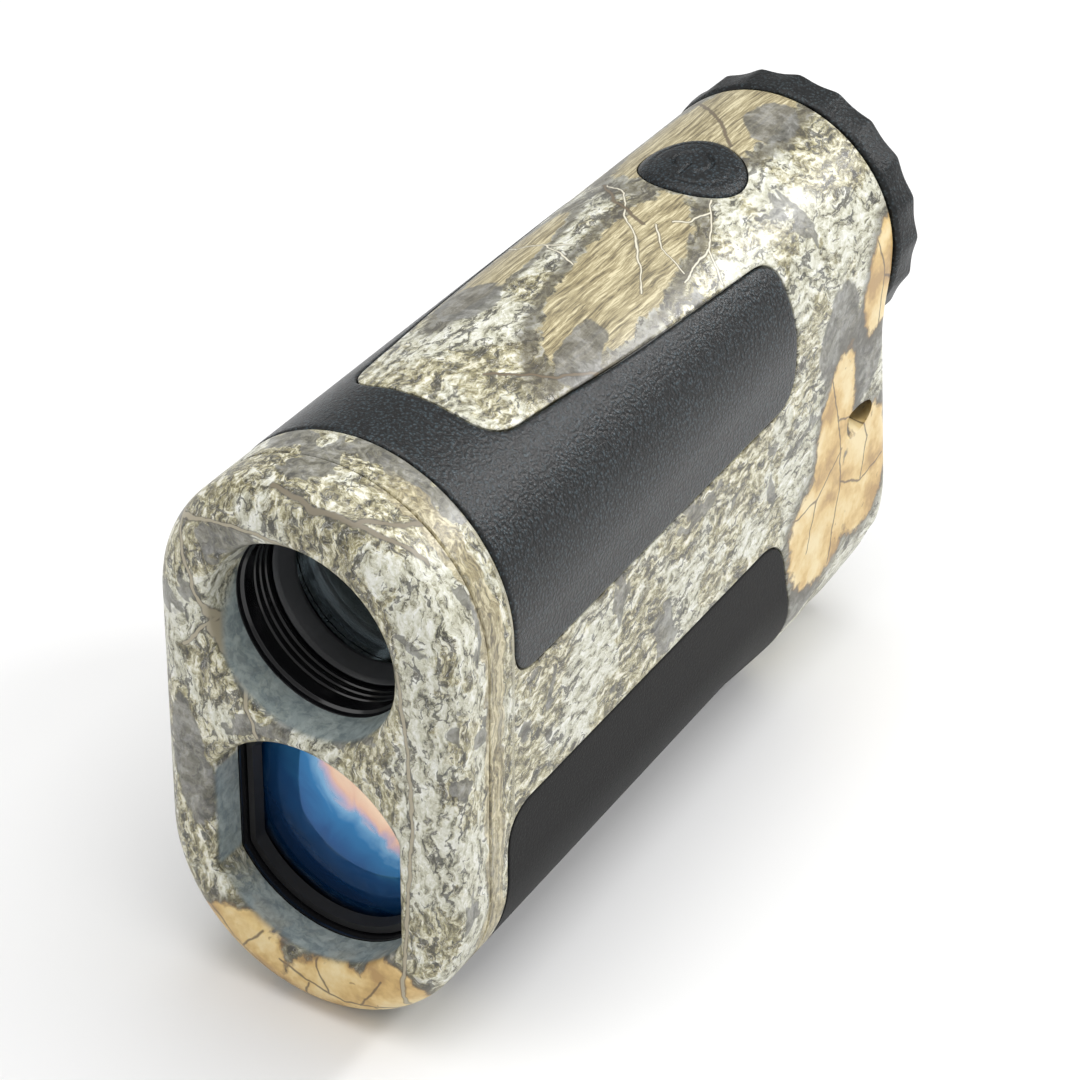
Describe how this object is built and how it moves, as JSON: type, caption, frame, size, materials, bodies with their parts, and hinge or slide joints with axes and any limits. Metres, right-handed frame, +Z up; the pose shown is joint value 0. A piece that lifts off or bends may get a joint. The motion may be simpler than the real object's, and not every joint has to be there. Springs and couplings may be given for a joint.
{
  "type": "laser rangefinder",
  "caption": "Slim hand-held laser rangefinder: monocular over a receiver lens, scalloped eyecup, top button, rubber armour and a rear battery cap.",
  "frame": {"origin": "under the middle of the overall box, on the plane that the flat sole rests on", "axes": "+Y runs from the objectives to the eyepiece along the body, +Z is up through the power button, +X is across the body"},
  "size_m": [0.0406, 0.109, 0.0739],
  "materials": {
    "camo_shell": "satin moulded plastic with a printed woodland bark and leaf film",
    "grip_rubber": "finely grained soft-touch rubber",
    "pad_rubber": "smooth matt rubber",
    "seal_rubber": "smooth nitrile seal",
    "cast_aluminium": "cast and machined, dull",
    "screw_steel": "plain plated steel",
    "gloss_black": "gloss black",
    "matt_black": "matt black",
    "ring_grey": "grey anodised",
    "clear_glass": "polished optical glass",
    "coated_glass": "polished, blue anti-reflection coating",
    "gold_plate": "gold plated can",
    "circuit_board": "solder mask",
    "chip_black": "moulded epoxy",
    "flex_film": "amber polyimide film",
    "cell_wrap": "printed shrink wrap, plain",
    "eyecup_rubber": "moulded rubber over plastic"
  },
  "bodies": {
    "root": {"front_bezel": "camo_shell", "main_housing": "camo_shell", "wrap_grip": "grip_rubber", "belly_pad": "pad_rubber", "bezel_gasket": "seal_rubber", "optics_chassis": "cast_aluminium", "chassis_screw_1": "screw_steel", "chassis_screw_2": "screw_steel", "chassis_screw_3": "screw_steel", "chassis_screw_4": "screw_steel", "board_screw_1": "screw_steel", "board_screw_2": "screw_steel", "objective_barrel": "gloss_black", "objective_retaining_ring": "ring_grey", "objective_lens_front": "clear_glass", "objective_lens_rear": "clear_glass", "receiver_lens_frame": "gloss_black", "receiver_retainer": "matt_black", "receiver_lens": "coated_glass", "receiver_cone": "matt_black", "detector_can": "gold_plate", "detector_board": "circuit_board", "prism_bracket": "cast_aluminium", "entry_prism": "clear_glass", "roof_prism": "clear_glass", "laser_diode": "gold_plate", "display_frame": "matt_black", "display_panel": "clear_glass", "ocular_tube": "cast_aluminium", "eyecup_retaining_ring": "matt_black", "power_switch": "screw_steel", "key_board": "circuit_board", "mode_switch": "screw_steel", "main_board": "circuit_board", "processor": "chip_black", "laser_board": "circuit_board", "storage_capacitor": "chip_black", "flex_ribbon": "flex_film", "battery_tube": "matt_black", "battery_spring": "screw_steel", "battery": "cell_wrap"},
    "power_button": {"power_button": "grip_rubber"},
    "mode_button": {"mode_button": "grip_rubber"},
    "eyecup": {"diopter_eyecup": "eyecup_rubber"},
    "ocular": {"ocular_cell": "matt_black", "field_lens": "clear_glass", "eye_lens": "coated_glass", "ocular_lock_ring": "matt_black"},
    "battery_cap": {"battery_cap": "matt_black", "battery_cap_seal": "seal_rubber", "cap_tab_pin": "screw_steel"},
    "cap_tab": {"cap_tab": "matt_black"}
  },
  "joints": [
    {"name": "power_button_press", "type": "slide", "parent": "root", "child": "power_button", "axis": [0, 0, -1], "range_m": [0, 0.0005], "stiffness_N_per_m": 3000, "springref_m": -0.0004},
    {"name": "mode_button_press", "type": "slide", "parent": "root", "child": "mode_button", "axis": [1, 0, 0], "range_m": [0, 0.0005], "stiffness_N_per_m": 3000, "springref_m": -0.0004},
    {"name": "diopter_turn", "type": "hinge", "parent": "root", "child": "eyecup", "pos_m": [0, 0.0515, 0.056], "axis": [0, 1, 0], "range_deg": [-75, 75]},
    {"name": "ocular_focus", "type": "slide", "parent": "root", "child": "ocular", "axis": [0, 1, 0], "range_m": [-0.0015, 0.0015]},
    {"name": "battery_cap_turn", "type": "hinge", "parent": "root", "child": "battery_cap", "pos_m": [0, 0.0505, 0.027], "axis": [0, 1, 0], "range_deg": [0, 90]},
    {"name": "cap_tab_flip", "type": "hinge", "parent": "battery_cap", "child": "cap_tab", "pos_m": [0, 0.0523, 0.0272], "axis": [1, 0, 0], "range_deg": [0, 95]}
  ],
  "couplings": [
    {"joint": "ocular_focus", "follows": "diopter_turn", "m_per_rad": 0.001145}
  ]
}
